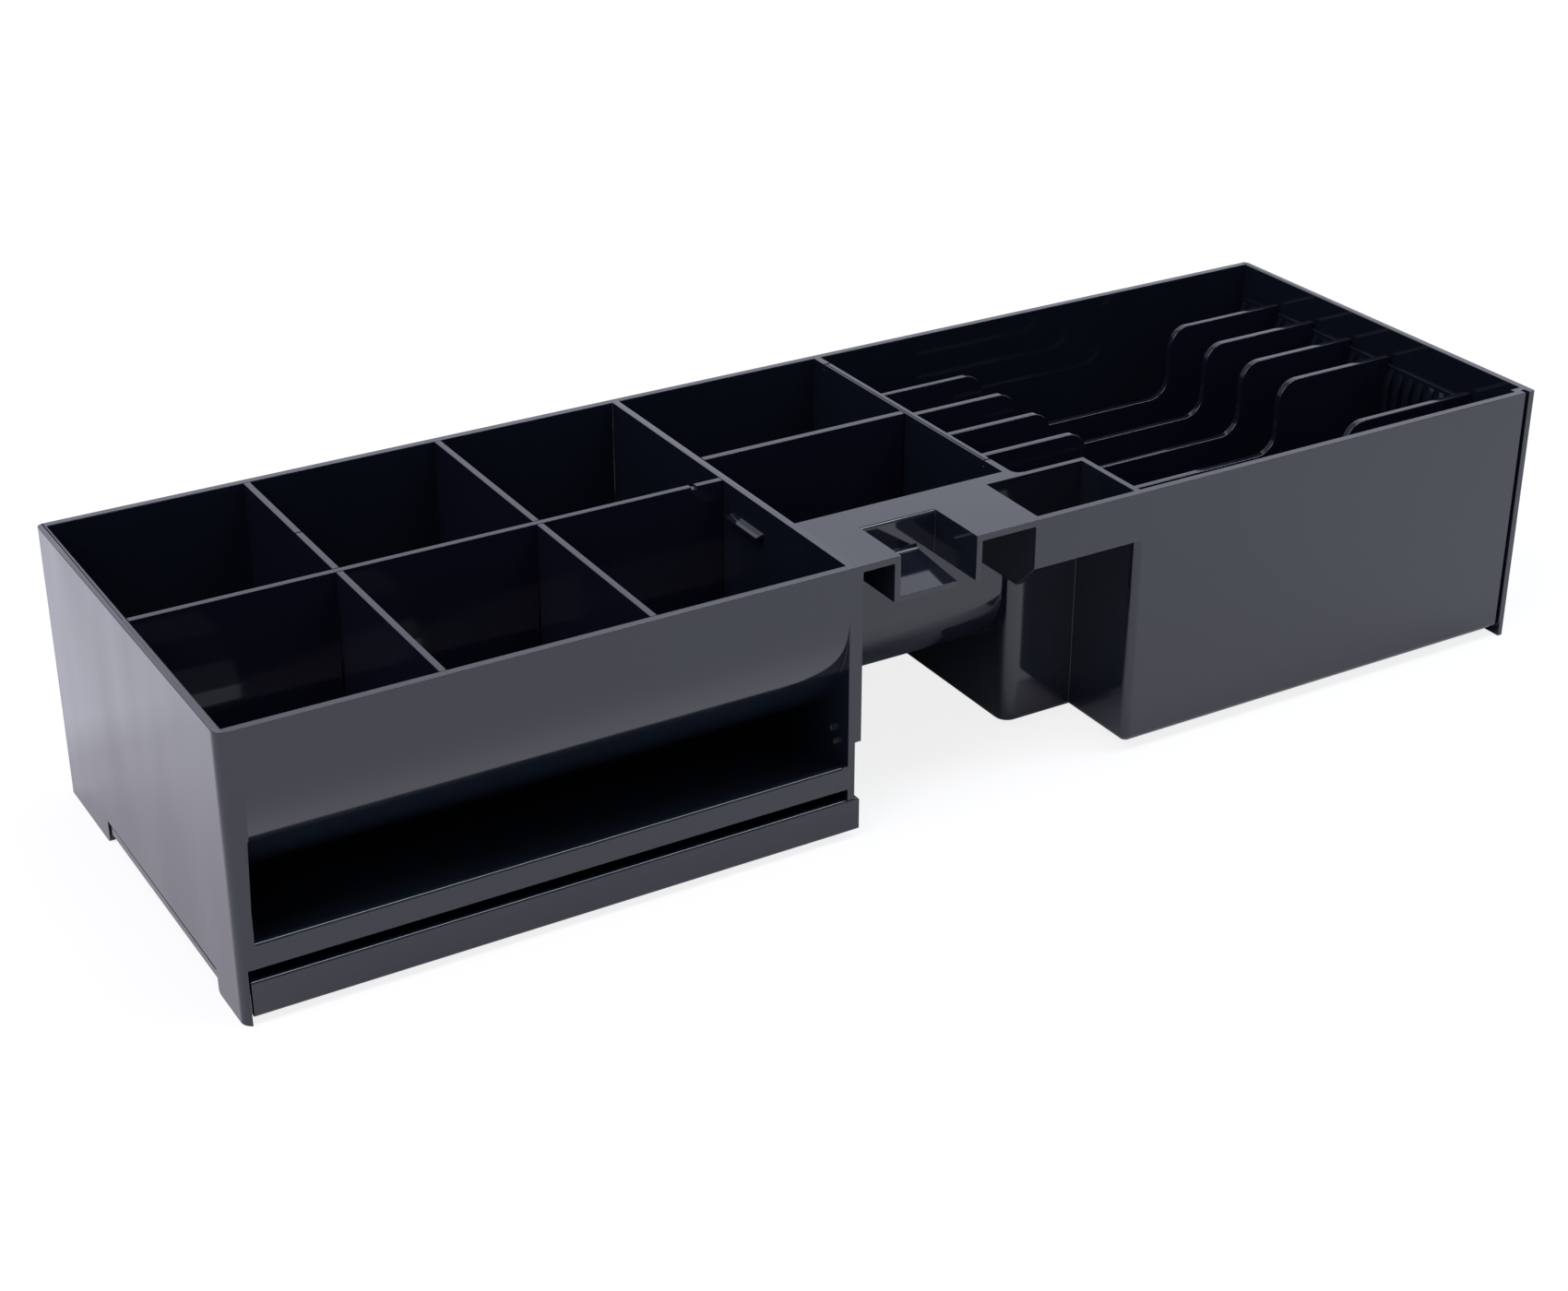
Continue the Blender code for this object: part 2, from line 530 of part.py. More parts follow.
def note_divider_outline(left_x, right_x, stub):
    """Front outline of a note divider, dipped in the middle and, where it has a stub, high at its left."""
    bottom_z = NOTE_FLOOR_Z + SEAM
    radius = NOTE_CORNER_RADIUS
    rise_x = right_x - NOTE_STUB
    steps = NOTE_CORNER_STEPS
    points = [(left_x, bottom_z), (right_x, bottom_z), (right_x, NOTE_DIVIDER_TOP_Z)]
    points += arc((rise_x + radius, NOTE_DIVIDER_TOP_Z - radius), radius, math.pi / 2, math.pi, steps)
    points += arc((rise_x - radius, NOTE_DIVIDER_LOW_Z + radius), radius, 0.0, -math.pi / 2, steps)
    if stub:
        fall_x = left_x + NOTE_STUB
        points += arc((fall_x + radius, NOTE_DIVIDER_LOW_Z + radius), radius, -math.pi / 2, -math.pi, steps)
        points += arc((fall_x - radius, NOTE_DIVIDER_TOP_Z - radius), radius, 0.0, math.pi / 2, steps)
        points += [(left_x, NOTE_DIVIDER_TOP_Z)]
    else:
        points += [(left_x, NOTE_DIVIDER_LOW_Z)]
    return points


def build_note_dividers(builder):
    """Makes the comb strips and the dividers that drop into them."""
    half_land = COMB_SLOT / 2 + (COMB_PITCH - COMB_SLOT)
    last_slot_y = COMB_FIRST_Y - half_land
    slots = int((last_slot_y - INNER_FRONT_Y - CORNER_RETURN - SEAM) / COMB_PITCH) + 1
    behind_step_slots = int((last_slot_y - POCKET_BACK_Y - SEAM) / COMB_PITCH) + 1
    first_step_slot = math.ceil((COMB_FIRST_Y + half_land - POCKET_BACK_Y) / COMB_PITCH)
    strips = (
        ("divider_comb_right", INNER_RIGHT_X, -1, 0, slots),
        ("divider_comb_left", NOTE_LEFT_X, 1, 0, behind_step_slots),
        ("divider_comb_step", POCKET_RIGHT_X, 1, first_step_slot, slots - first_step_slot),
    )
    for name, wall_x, inward, first, count in strips:
        build_comb(builder, name, wall_x, inward, first, count)
    end_gap = SEAM + COMB_BASE + SEAM
    for number, slot in enumerate((*REAR_DIVIDER_SLOT_NUMBERS, first_step_slot), start=1):
        centre_y = COMB_FIRST_Y - COMB_PITCH * slot
        edges_y = (centre_y - NOTE_DIVIDER / 2, centre_y + NOTE_DIVIDER / 2)
        behind_step = centre_y > POCKET_BACK_Y
        left_x = (NOTE_LEFT_X if behind_step else POCKET_RIGHT_X) + end_gap
        outline = note_divider_outline(left_x, INNER_RIGHT_X - end_gap, behind_step)
        builder.plate(f"note_divider_{number}", "divider", outline, "XZ", *edges_y)


def main():
    """Builds the whole insert."""
    clear_scene()
    builder = Builder(make_collection("cash_drawer_insert"), make_collection("cutters"))
    build_outer_walls(builder)
    build_bay_walls(builder)
    build_floors(builder)
    build_lock_deck(builder)
    build_small_pocket(builder)
    build_shelf(builder)
    build_slip_tray(builder)
    build_coin_dividers(builder)
    build_note_dividers(builder)


main()
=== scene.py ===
"""Looks of a cash drawer insert moulded in glossy black plastic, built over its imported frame.

Metres, +Z up. X runs along the insert towards the note bay, -Y faces the cashier.
"""

import logging
import math
from collections.abc import Callable, Iterator
from contextlib import contextmanager
from dataclasses import dataclass
from enum import Enum

import bmesh
import bpy
from mathutils import Matrix, Vector


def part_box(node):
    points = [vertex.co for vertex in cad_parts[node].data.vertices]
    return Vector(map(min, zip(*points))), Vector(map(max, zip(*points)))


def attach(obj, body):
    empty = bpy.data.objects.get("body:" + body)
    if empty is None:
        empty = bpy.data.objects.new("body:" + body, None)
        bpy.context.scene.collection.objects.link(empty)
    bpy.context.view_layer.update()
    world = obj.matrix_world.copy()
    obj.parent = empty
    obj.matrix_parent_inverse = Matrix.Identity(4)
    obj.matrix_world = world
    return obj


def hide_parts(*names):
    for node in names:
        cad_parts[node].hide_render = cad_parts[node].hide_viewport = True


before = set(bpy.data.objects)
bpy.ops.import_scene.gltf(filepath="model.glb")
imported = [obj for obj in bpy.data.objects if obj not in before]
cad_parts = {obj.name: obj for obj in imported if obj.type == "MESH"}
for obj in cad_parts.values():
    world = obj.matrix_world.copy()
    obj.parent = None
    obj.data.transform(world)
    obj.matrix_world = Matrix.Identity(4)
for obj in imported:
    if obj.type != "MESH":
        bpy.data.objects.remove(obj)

LOG = logging.getLogger("cash_drawer_insert")
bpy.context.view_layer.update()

Point = tuple[float, float, float]
Place = tuple[float | None, float | None, float | None]
Span = tuple[float, float]
EdgeTest = Callable[[Vector, Vector], bool]
Piece = bpy.types.Object
Material = bpy.types.Material
Tree = bpy.types.NodeTree
Socket = bpy.types.NodeSocket

# How far a cutter reaches past the piece, and how deep a small rounding tool is
BEYOND = 0.030
TOOL_DEPTH = 0.010
# Coordinates this close are the same, and corners this close are one
SAME = 0.00005
WELD = 0.000005
BEVEL_WELD = 0.000002
# Angles: faces in one plane, edges that are softened, edges that shade smoothly
FLAT = math.radians(0.4)
SHARP = math.radians(35)
SMOOTH = math.radians(50)
# An edge is softened where its faces are this many radii wide and their corners no narrower
CLEAR_RADII = 2.1
WEDGE = math.cos(math.radians(25))
ALONG = 0.99


class Join(Enum):
    """How a tool solid changes the piece that it is used on."""

    ADD = "UNION"
    CUT = "DIFFERENCE"


class Axis(Enum):
    """The direction that an edge runs in."""

    X = 0
    Y = 1
    Z = 2


class End(Enum):
    """One of the insert's two ends, with the sign of its side."""

    COIN = -1
    NOTE = 1


def deselect_all() -> None:
    """Leaves nothing selected, because operators act on all that is."""
    bpy.ops.object.select_all(action="DESELECT")


def choose(piece: Piece) -> None:
    """Selects one piece alone and makes it active.

    Args:
        piece: The piece that the next operator works on.
    """
    deselect_all()
    piece.select_set(True)
    bpy.context.view_layer.objects.active = piece


def block(name: str, low: Point, high: Point) -> Piece:
    """Adds a block between two opposite corners.

    Args:
        name: The new object's name.
        low: Its lowest corner.
        high: Its highest corner.

    Returns:
        The block, with its place in its mesh.
    """
    deselect_all()
    middle = (Vector(low) + Vector(high)) / 2
    bpy.ops.mesh.primitive_cube_add(size=1.0, location=middle)
    piece = bpy.context.object
    piece.name = name
    piece.scale = Vector(high) - Vector(low)
    bpy.ops.object.transform_apply()
    return piece


@contextmanager
def editing(piece: Piece, kind: str = "EDGE") -> Iterator[bmesh.types.BMesh]:
    """Opens a piece in edit mode with nothing selected, and closes it again.

    Args:
        piece: The piece to edit.
        kind: What is selected in it, EDGE or VERT.

    Yields:
        Its edit mesh, for selecting by place.
    """
    choose(piece)
    bpy.ops.object.mode_set(mode="EDIT")
    bpy.ops.mesh.select_mode(type=kind)
    bpy.ops.mesh.select_all(action="DESELECT")
    yield bmesh.from_edit_mesh(piece.data)
    bpy.ops.object.mode_set(mode="OBJECT")


def near(value: float, target: float) -> bool:
    """Returns whether two coordinates are the same."""
    return abs(value - target) < SAME


def is_at(point: Vector, place: Place) -> bool:
    """Returns whether a point has those coordinates of a place that aren't None."""
    return all(wanted is None or near(value, wanted) for value, wanted in zip(point, place))


def edges_at(axis: Axis, place: Place) -> EdgeTest:
    """Makes a test for the edges along an axis whose middle is at a place.

    Args:
        axis: The direction that they run in.
        place: Where their middle is; None stands for any coordinate.

    Returns:
        The test, for round_edges.
    """
    return lambda at, way: abs(way[axis.value]) > ALONG and is_at(at, place)


def round_edges(piece: Piece, radius: float, chosen: EdgeTest, steps: int) -> None:
    """Rounds the edges that a test chooses.

    Args:
        piece: The piece to round.
        radius: Radius of the rounding.
        chosen: Test on an edge's middle and its direction.
        steps: Faces across it; 1 gives a chamfer.
    """
    with editing(piece) as mesh:
        for edge in mesh.edges:
            start, end = (corner.co for corner in edge.verts)
            edge.select_set(chosen((start + end) / 2, (end - start).normalized()))
        bmesh.update_edit_mesh(piece.data)
        bpy.ops.mesh.bevel(offset=radius, segments=steps, affect="EDGES")


def scooped(name: str, low: Point, high: Point, radius: float, steps: int) -> Piece:
    """Adds a block whose lower front edge is rounded off, as under a coin scoop.

    Args:
        name: The new object's name.
        low: Its lowest corner.
        high: Its highest corner.
        radius: Radius of the rounding.
        steps: Faces across it; 1 gives a chamfer.

    Returns:
        The block.
    """
    piece = block(name, low, high)
    round_edges(piece, radius, edges_at(Axis.X, (None, low[1], low[2])), steps)
    return piece


def move_corners(piece: Piece, place: Place, shift: Point) -> None:
    """Moves the corners that are at a place.

    Args:
        piece: The piece to shape.
        place: Where they are; None stands for any coordinate.
        shift: How far they move.
    """
    with editing(piece, "VERT") as mesh:
        for corner in mesh.verts:
            corner.select_set(is_at(corner.co, place))
        bmesh.update_edit_mesh(piece.data)
        bpy.ops.transform.translate(value=shift)


def combine(piece: Piece, tool: Piece, way: Join) -> None:
    """Adds a tool solid to a piece or cuts it out, and removes the tool.

    Args:
        piece: The piece that changes.
        tool: The solid that is used up.
        way: Whether it is added or cut out.
    """
    step = piece.modifiers.new(way.name.title(), "BOOLEAN")
    step.object = tool
    step.operation = way.value
    step.solver = "EXACT"
    choose(piece)
    bpy.ops.object.modifier_apply(modifier=step.name)
    bpy.data.objects.remove(tool, do_unlink=True)


def tidy_faces(piece: Piece) -> None:
    """Merges doubled corners and faces that lie in one plane.

    Args:
        piece: The piece to clean.
    """
    with editing(piece):
        bpy.ops.mesh.select_all(action="SELECT")
        bpy.ops.mesh.remove_doubles(threshold=WELD)
        bpy.ops.mesh.dissolve_limited(angle_limit=FLAT)


def has_room(edge: bmesh.types.BMEdge, radius: float) -> bool:
    """Tells whether both faces beside an edge are wide enough for a rounding.

    Args:
        edge: The edge.
        radius: The rounding's radius.

    Returns:
        False where another edge of either face runs too close or meets it in a narrow wedge.
    """
    start, end = (corner.co for corner in edge.verts)
    middle = (start + end) / 2
    for face in edge.link_faces:
        for other in face.edges:
            if other is edge:
                continue
            shared = set(other.verts) & set(edge.verts)
            if shared:
                corner = shared.pop()
                aside = (other.other_vert(corner).co - corner.co).normalized()
                ahead = (edge.other_vert(corner).co - corner.co).normalized()
                if aside.dot(ahead) > WEDGE:
                    return False
                continue
            first, last = (corner.co for corner in other.verts)
            line = last - first
            share = (middle - first).dot(line) / max(line.length_squared, 1e-12)
            nearest = first + line * min(1.0, max(0.0, share))
            if (nearest - middle).length < radius * CLEAR_RADII:
                return False
    return True


def soften(piece: Piece, radius: float, steps: int = 2) -> None:
    """Breaks every sharp edge of a moulding that has room for it and evens the shading.

    Args:
        piece: The piece to finish.
        radius: Radius left on its edges.
        steps: Faces across each edge.
    """
    tidy_faces(piece)
    with editing(piece) as mesh:
        for edge in mesh.edges:
            sharp = len(edge.link_faces) == 2 and edge.calc_face_angle(0.0) > SHARP
            edge.select_set(sharp and has_room(edge, radius))
        bmesh.update_edit_mesh(piece.data)
        bpy.ops.mesh.bevel(offset=radius, segments=steps, affect="EDGES", miter_outer="ARC")
        bpy.ops.mesh.select_all(action="SELECT")
        bpy.ops.mesh.remove_doubles(threshold=BEVEL_WELD)
        bpy.ops.mesh.normals_make_consistent(inside=False)
    bpy.ops.object.shade_smooth_by_angle(angle=SMOOTH)
    shading = piece.modifiers.new("Even shading", "WEIGHTED_NORMAL")
    shading.keep_sharp = True
    shading.weight = 90
    bpy.ops.object.modifier_apply(modifier=shading.name)


def join_pieces(pieces: list[Piece], name: str) -> Piece:
    """Joins pieces into one object.

    Args:
        pieces: The pieces, of which the first one stays.
        name: The joined object's name.

    Returns:
        The joined object.
    """
    choose(pieces[0])
    for piece in pieces[1:]:
        piece.select_set(True)
    bpy.ops.object.join()
    pieces[0].name = name
    return pieces[0]


def linear_colour(code: str) -> tuple[float, float, float, float]:
    """Turns a written sRGB colour into the linear one that shaders use.

    Args:
        code: Six hexadecimal digits.

    Returns:
        Linear red, green, blue and full alpha.
    """
    values = []
    for digit in (0, 2, 4):
        share = int(code[digit : digit + 2], 16) / 255
        values.append(share / 12.92 if share <= 0.04045 else ((share + 0.055) / 1.055) ** 2.4)
    return (*values, 1.0)


def add_node(
    tree: Tree, kind: str, inputs: dict[str | int, object] | None = None, **settings: object
) -> bpy.types.Node:
    """Adds a shader node with its settings, values and links.

    Args:
        tree: The node tree.
        kind: The node's type name, without ShaderNode.
        inputs: Values, or output sockets to link, by input name or number.
        settings: The node's properties.

    Returns:
        The new node.
    """
    node = tree.nodes.new("ShaderNode" + kind)
    for name, value in settings.items():
        setattr(node, name, value)
    for name, value in (inputs or {}).items():
        if isinstance(value, Socket):
            tree.links.new(value, node.inputs[name])
        else:
            node.inputs[name].default_value = value
    return node


def blank_material(name: str) -> Material:
    """Makes a material with an empty node tree.

    Args:
        name: The material's name.

    Returns:
        The material.
    """
    material = bpy.data.materials.new(name)
    material.use_nodes = True
    material.node_tree.nodes.clear()
    return material


@dataclass(frozen=True)
class Pattern:
    """Soft random variation with cells of a real size along each axis."""

    cell: Point
    detail: float
    contrast: float
    turn: Point = (0.0, 0.0, 0.0)

    def lay(self, tree: Tree, place: Socket) -> Socket:
        """Adds the pattern to a material.

        Args:
            tree: The material's nodes.
            place: Object coordinates.

        Returns:
            Its value, from 0 to 1.
        """
        per_metre = tuple(1.0 / size for size in self.cell)
        turned = {"Vector": place, "Rotation": self.turn, "Scale": per_metre}
        laid = {
            "Vector": add_node(tree, "Mapping", turned).outputs[0],
            "Scale": 1.0,
            "Detail": self.detail,
            "Roughness": self.contrast,
        }
        return add_node(tree, "TexNoise", laid).outputs[0]


@dataclass(frozen=True)
class MouldedPlastic:
    """Glossy black ABS as it leaves a polished mould.

    A near-mirror skin shows the soft shapes of the room. Broad waves of the melt's flow and a
    fine peel bend them a little, thin smears from handling dull them here and there, and a slow
    change between two blacks keeps a broad face from looking flat.
    """

    name: str
    shade: str = "0C1018"
    pale_shade: str = "10151D"
    index: float = 1.50
    roughness: float = 0.05
    smear_roughness: float = 0.05
    smear_range: Span = (0.35, 0.8)
    # The change of shade is 42 mm wide, and the smears are thin slanting marks of 4 x 11 x 33 mm
    cloud: Pattern = Pattern((0.04167, 0.04167, 0.04167), 4.0, 0.6)
    smear: Pattern = Pattern((0.03333, 0.003846, 0.01111), 5.0, 0.7, (0.5, 0.9, 0.4))
    # Flow waves are 22 mm wide and much longer up the wall, the way the mould fills
    flow: Pattern = Pattern((0.02174, 0.02174, 0.3333), 2.0, 0.4)
    flow_depth: float = 0.000036
    # The real peel is finer than 1 mm: it is drawn 2.4 mm wide, so that it shows
    peel: Pattern = Pattern((0.002381, 0.002381, 0.002381), 2.0, 0.5)
    peel_depth: float = 0.0000012
    # Sink streaks, 31 mm apart and leaning a little, show on the coin end's outer face alone
    streak: Pattern = Pattern((1.0, 0.03125, 0.125), 1.0, 0.35, (0.10, 0.0, 0.0))
    streak_depth: float = 0.0007
    streak_from: float = -0.2180
    streak_full: float = -0.2198

    def make(self) -> Material:
        """Builds the material.

        Returns:
            A material on Object coordinates, at the real scale.
        """
        material = blank_material(self.name)
        tree = material.node_tree
        place = add_node(tree, "TexCoord").outputs["Object"]
        shades = {6: linear_colour(self.shade), 7: linear_colour(self.pale_shade)}
        shades[0] = self.cloud.lay(tree, place)
        marks = {
            "Value": self.smear.lay(tree, place),
            "From Min": self.smear_range[0],
            "From Max": self.smear_range[1],
            "To Min": self.roughness,
            "To Max": self.roughness + self.smear_roughness,
        }
        surface = {
            "Base Color": add_node(tree, "Mix", shades, data_type="RGBA").outputs[2],
            "Roughness": add_node(tree, "MapRange", marks).outputs[0],
            "IOR": self.index,
            "Normal": self.skin(tree, place),
        }
        shader = add_node(tree, "BsdfPrincipled", surface)
        add_node(tree, "OutputMaterial", {"Surface": shader.outputs[0]})
        return material

    def skin(self, tree: Tree, place: Socket) -> Socket:
        """Adds the flow waves, the peel and the coin end's upright sink streaks.

        Args:
            tree: The material's nodes.
            place: Object coordinates.

        Returns:
            The surface with all three.
        """
        x = add_node(tree, "SeparateXYZ", {"Vector": place}).outputs["X"]
        fade = {"Value": x, "From Min": self.streak_from, "From Max": self.streak_full}
        both = {0: self.streak.lay(tree, place), 1: add_node(tree, "MapRange", fade).outputs[0]}
        streak = add_node(tree, "Math", both, operation="MULTIPLY").outputs[0]
        under = {}
        for height, depth in (
            (self.flow.lay(tree, place), self.flow_depth),
            (self.peel.lay(tree, place), self.peel_depth),
            (streak, self.streak_depth),
        ):
            bump = add_node(tree, "Bump", {"Height": height, "Distance": depth, **under})
            under = {"Normal": bump.outputs[0]}
        return under["Normal"]


@dataclass(frozen=True)
class PaleTableTop:
    """Matt white laminate: all the camera gets is a white ground with the object's soft shadow."""

    shade: str = "F4F4F6"
    white_share: float = 0.84

    def make(self) -> Material:
        """Builds the material.

        Returns:
            Matt white, mixed with plain white for the camera alone.
        """
        material = blank_material("pale_table")
        tree = material.node_tree
        path = add_node(tree, "LightPath")
        factors = {0: path.outputs["Is Camera Ray"], 1: self.white_share}
        share = add_node(tree, "Math", factors, operation="MULTIPLY")
        matt = add_node(tree, "BsdfDiffuse", {"Color": linear_colour(self.shade)})
        glow = add_node(tree, "Emission", {"Color": linear_colour("FFFFFF"), "Strength": 1.0})
        both = {0: share.outputs[0], 1: matt.outputs[0], 2: glow.outputs[0]}
        mixed = add_node(tree, "MixShader", both)
        add_node(tree, "OutputMaterial", {"Surface": mixed.outputs[0]})
        return material


class SubAssembly:
    """A group of like pieces, with what all of them need to be built and dressed."""

    def add(self, piece: Piece, low: Point, high: Point) -> None:
        """Adds a plain block of material."""
        combine(piece, block("added", low, high), Join.ADD)

    def cut(self, piece: Piece, low: Point, high: Point) -> None:
        """Cuts a plain block away."""
        combine(piece, block("cut", low, high), Join.CUT)

    def dress(self, piece: Piece, material: Material, body: str, slot: str, *nodes: str) -> None:
        """Gives a finished piece its material and its place in the object.

        Args:
            piece: The finished piece.
            material: Its material.
            body: The body it rides on.
            slot: The record's material slot; not used.
            nodes: The nodes of the frame that it stands for.
        """
        piece.data.materials.clear()
        piece.data.materials.append(material)
        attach(piece, body)
        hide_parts(*nodes)
        LOG.info("%s: %d faces on %s", piece.name, len(piece.data.polygons), body)


@dataclass
class MainMoulding(SubAssembly):
    """The one-piece moulding: walls, scooped cups, lock recess with its deck, pocket and shelf."""

    # Outer walls
    half_length: float = 0.220
    half_depth: float = 0.0715
    height: float = 0.087
    wall: float = 0.002
    rim: float = 0.0024
    skirt: float = 0.0035
    inset: float = 0.00195
    corner: float = 0.0019
    front_corner: float = 0.0035
    edge: float = 0.00014
    overlap: float = 0.0005
    # Feet of the end walls, with the rebate and groove between them
    foot_front: float = -0.0520
    foot_rear: float = 0.0360
    foot_round: float = 0.0018
    foot_right: float = -0.2178
    rebate_top: float = 0.0074
    rebate_depth: float = 0.0005
    groove: float = 0.0014
    groove_depth: float = 0.0016
    # Leaning post at the left of the storage space
    post_low: float = 0.0170
    post_right: float = -0.2157
    post_lean: float = 0.0022
    post_top: float = 0.0725
    post_clear: float = 0.0004
    # Coin cups, the shelf under them and the rails that carry the tray
    coin_end: float = -0.0366
    scoop: float = 0.043
    cup_floor: float = 0.031
    shelf: float = 0.017
    shelf_lip: float = 0.0246
    shelf_back: float = 0.036
    rail_gap: Span = (-0.2134, -0.0389)
    rail_front: float = 0.0025
    rail_back: float = 0.033
    rail_height: Span = (0.0080, 0.0095)
    lip_space: float = 0.0003
    lip_space_top: float = 0.0133
    # Lock recess, the cup behind it and the rib at its left front
    lock_start: float = -0.0343
    lock_front: float = -0.0398
    lock_scoop: float = 0.025
    lock_floor: float = 0.027
    lock_rib_low: float = 0.0317
    lock_rib_depth: float = 0.005
    # Note bay with its step
    partition: float = 0.0376
    step_x: float = 0.0647
    step_y: float = -0.0412
    bay_corner: float = 0.005
    bay_inner_corner: float = 0.003
    step_corner: float = 0.0026
    bottom_radius: float = 0.0022
    panel_end: float = 0.216
    # Small pocket
    pocket_left: float = 0.026
    pocket_drop: float = 0.024
    pocket_chamfer: float = 0.0085
    pocket_slope: float = 0.0055
    mitre: float = 0.6
    # Notch in the deck with the tilted latch ledge
    notch: Point = (-0.020, 0.0055, -0.0504)
    latch_floor: float = 0.073
    latch_thickness: float = 0.0015
    latch_end: float = -0.0008
    latch_rise: float = 0.0986
    latch_fillet: float = 0.0014
    lit_edge: float = 0.0009
    # Ledge in the third front cup and two catches on the storage space's right wall
    ledge_reach: float = 0.0026
    ledge_length: Span = (-0.0242, -0.0066)
    ledge_height: Span = (0.0770, 0.0790)
    ledge_tilt: float = 0.0010
    catch_reach: float = 0.0013
    catches: tuple[tuple[Span, Span], ...] = (
        ((-0.0640, -0.0628), (0.0330, 0.0350)), ((-0.0658, -0.0650), (0.0294, 0.0312))
    )
    # Joint lines in the partition's top edge
    seam: float = 0.0006
    seam_depth: float = 0.0020
    seam_reach: float = 0.0002
    seams_at: Span = (0.0630, -0.0280)
    seam_line: Span = (0.0006, 0.0009)
    seam_line_depth: float = 0.0004
    nodes: tuple[str, ...] = (
        "left_end_wall", "right_end_wall", "rear_wall", "note_front_wall", "coin_end_wall",
        "coin_note_partition", "bay_step_back_wall", "bay_step_side_wall", "note_bay_floor",
        "small_pocket_floor", "small_pocket_wall", "lock_deck", "latch_pocket", "coin_cup_floor",
        "lock_cup_floor", "storage_shelf", "tray_rail_left", "tray_rail_right",
    )

    def end_wall(self, end: End) -> Piece:
        """Makes an end wall on two feet, rebated and grooved along its lower edge.

        Args:
            end: Which of the two it is.

        Returns:
            The end wall.
        """
        side = end.value
        outer = side * self.half_length
        depth = self.half_depth
        low_x, high_x = sorted((outer, outer - side * self.wall))
        plate = block("end_wall", (low_x, -depth, 0.0), (high_x, depth, self.height))
        if end is End.NOTE:
            round_edges(plate, self.wall / 4, edges_at(Axis.Z, (outer, -depth, None)), steps=4)
        round_edges(plate, self.corner, edges_at(Axis.Z, (outer, depth, None)), steps=8)
        low = (low_x - BEYOND, self.foot_front, -BEYOND)
        gap = block("feet_gap", low, (high_x + BEYOND, self.foot_rear, self.skirt))
        round_edges(gap, self.wall, edges_at(Axis.X, (None, None, self.skirt)), steps=6)
        combine(plate, gap, Join.CUT)
        bottom = edges_at(Axis.X, (None, None, 0.0))
        between = depth - self.wall
        round_edges(
            plate, self.foot_round, lambda at, way: bottom(at, way) and abs(at.y) < between, steps=6
        )
        for depth_in, low_y, low_z in (
            (self.rebate_depth, self.foot_front, -BEYOND),
            (self.groove_depth, self.foot_front + self.wall, self.rebate_top - self.groove),
        ):
            low_x, high_x = sorted((outer - side * depth_in, outer + side * BEYOND))
            self.cut(plate, (low_x, low_y, low_z), (high_x, self.foot_rear, self.rebate_top))
        return plate

    def coin_section(self, body: Piece) -> None:
        """Adds the coin cups' scooped trough, the wall at its end, the post, shelf and rails.

        Args:
            body: The moulding.
        """
        half = self.wall / 2
        left = -self.half_length + self.inset
        right = self.coin_end + half
        front = -self.half_depth
        inside = front + self.wall
        back = self.half_depth - half
        bottom = self.cup_floor - self.wall
        high = (right, back, self.height)
        trough = scooped("coin_trough", (left, front, bottom), high, self.scoop, steps=48)
        combine(body, trough, Join.ADD)
        self.add(body, (self.coin_end, front, self.skirt), (self.lock_start, back, self.height))
        self.add(body, (left, front, 0.0), (self.foot_right, inside, self.post_low + self.wall))
        high = (self.post_right, inside, self.post_top)
        post = block("post", (left, front, self.post_low), high)
        move_corners(post, (self.post_right, None, self.post_top), (self.post_lean, 0.0, 0.0))
        combine(body, post, Join.ADD)
        shelf, shelf_back = self.shelf, self.shelf_back
        rail_front = front + self.rail_front
        rail_low, rail_high = self.rail_height
        for low, high in (
            ((left, front + half, shelf), (right, shelf_back, shelf + self.wall)),
            ((self.post_right - half, front, shelf), (right, inside, self.shelf_lip)),
            ((left, shelf_back - self.wall, shelf), (right, shelf_back, bottom + half)),
            ((left, rail_front, rail_low), (self.rail_gap[0], self.rail_back, rail_high)),
            ((self.rail_gap[1], rail_front, rail_low), (right, self.rail_back, rail_high)),
        ):
            self.add(body, low, high)

    def pocket_form(self, low: Point, high: Point, chamfer: float, slope: float) -> Piece:
        """Makes the small pocket, or the space in it, with its lower front corner cut off.

        Args:
            low: Its lowest corner.
            high: Its highest corner.
            chamfer: Height of the cut.
            slope: How much further back than its height the cut runs.

        Returns:
            The form.
        """
        form = scooped("pocket", low, high, chamfer, steps=1)
        if slope:
            move_corners(form, (None, low[1] + chamfer, low[2]), (0.0, slope, 0.0))
        return form

